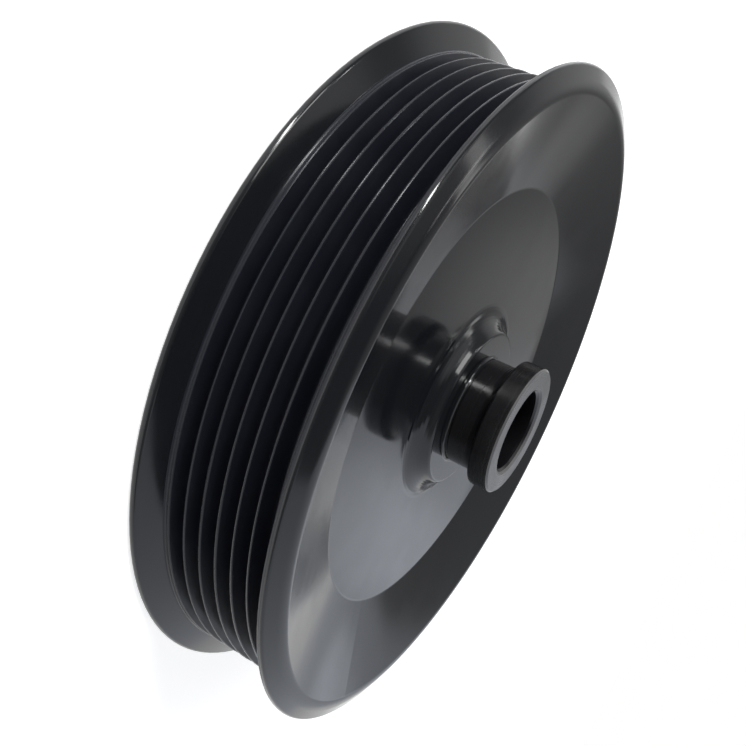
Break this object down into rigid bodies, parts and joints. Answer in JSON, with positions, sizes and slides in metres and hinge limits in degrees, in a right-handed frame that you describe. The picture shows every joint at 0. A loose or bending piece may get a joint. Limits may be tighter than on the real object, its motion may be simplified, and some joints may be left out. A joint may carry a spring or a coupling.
{
  "type": "power steering pump pulley",
  "caption": "Flanged multi-rib belt pulley with a dished web, a cup open at the back and a turned hub with a puller flange.",
  "frame": {"origin": "centre of the pulley, at the height of the rim's open rear edge", "axes": "+Z along the pulley's axis, from the open back to the hub's nose"},
  "size_m": [0.1522, 0.1522, 0.0408],
  "materials": {
    "shell_coat": "glossy black electrophoretic coat on steel",
    "hub_coat": "black coat on turned steel, worn thin and satin on the nose face"
  },
  "bodies": {
    "root": {"pulley_shell": "shell_coat", "hub": "hub_coat"}
  },
  "joints": []
}
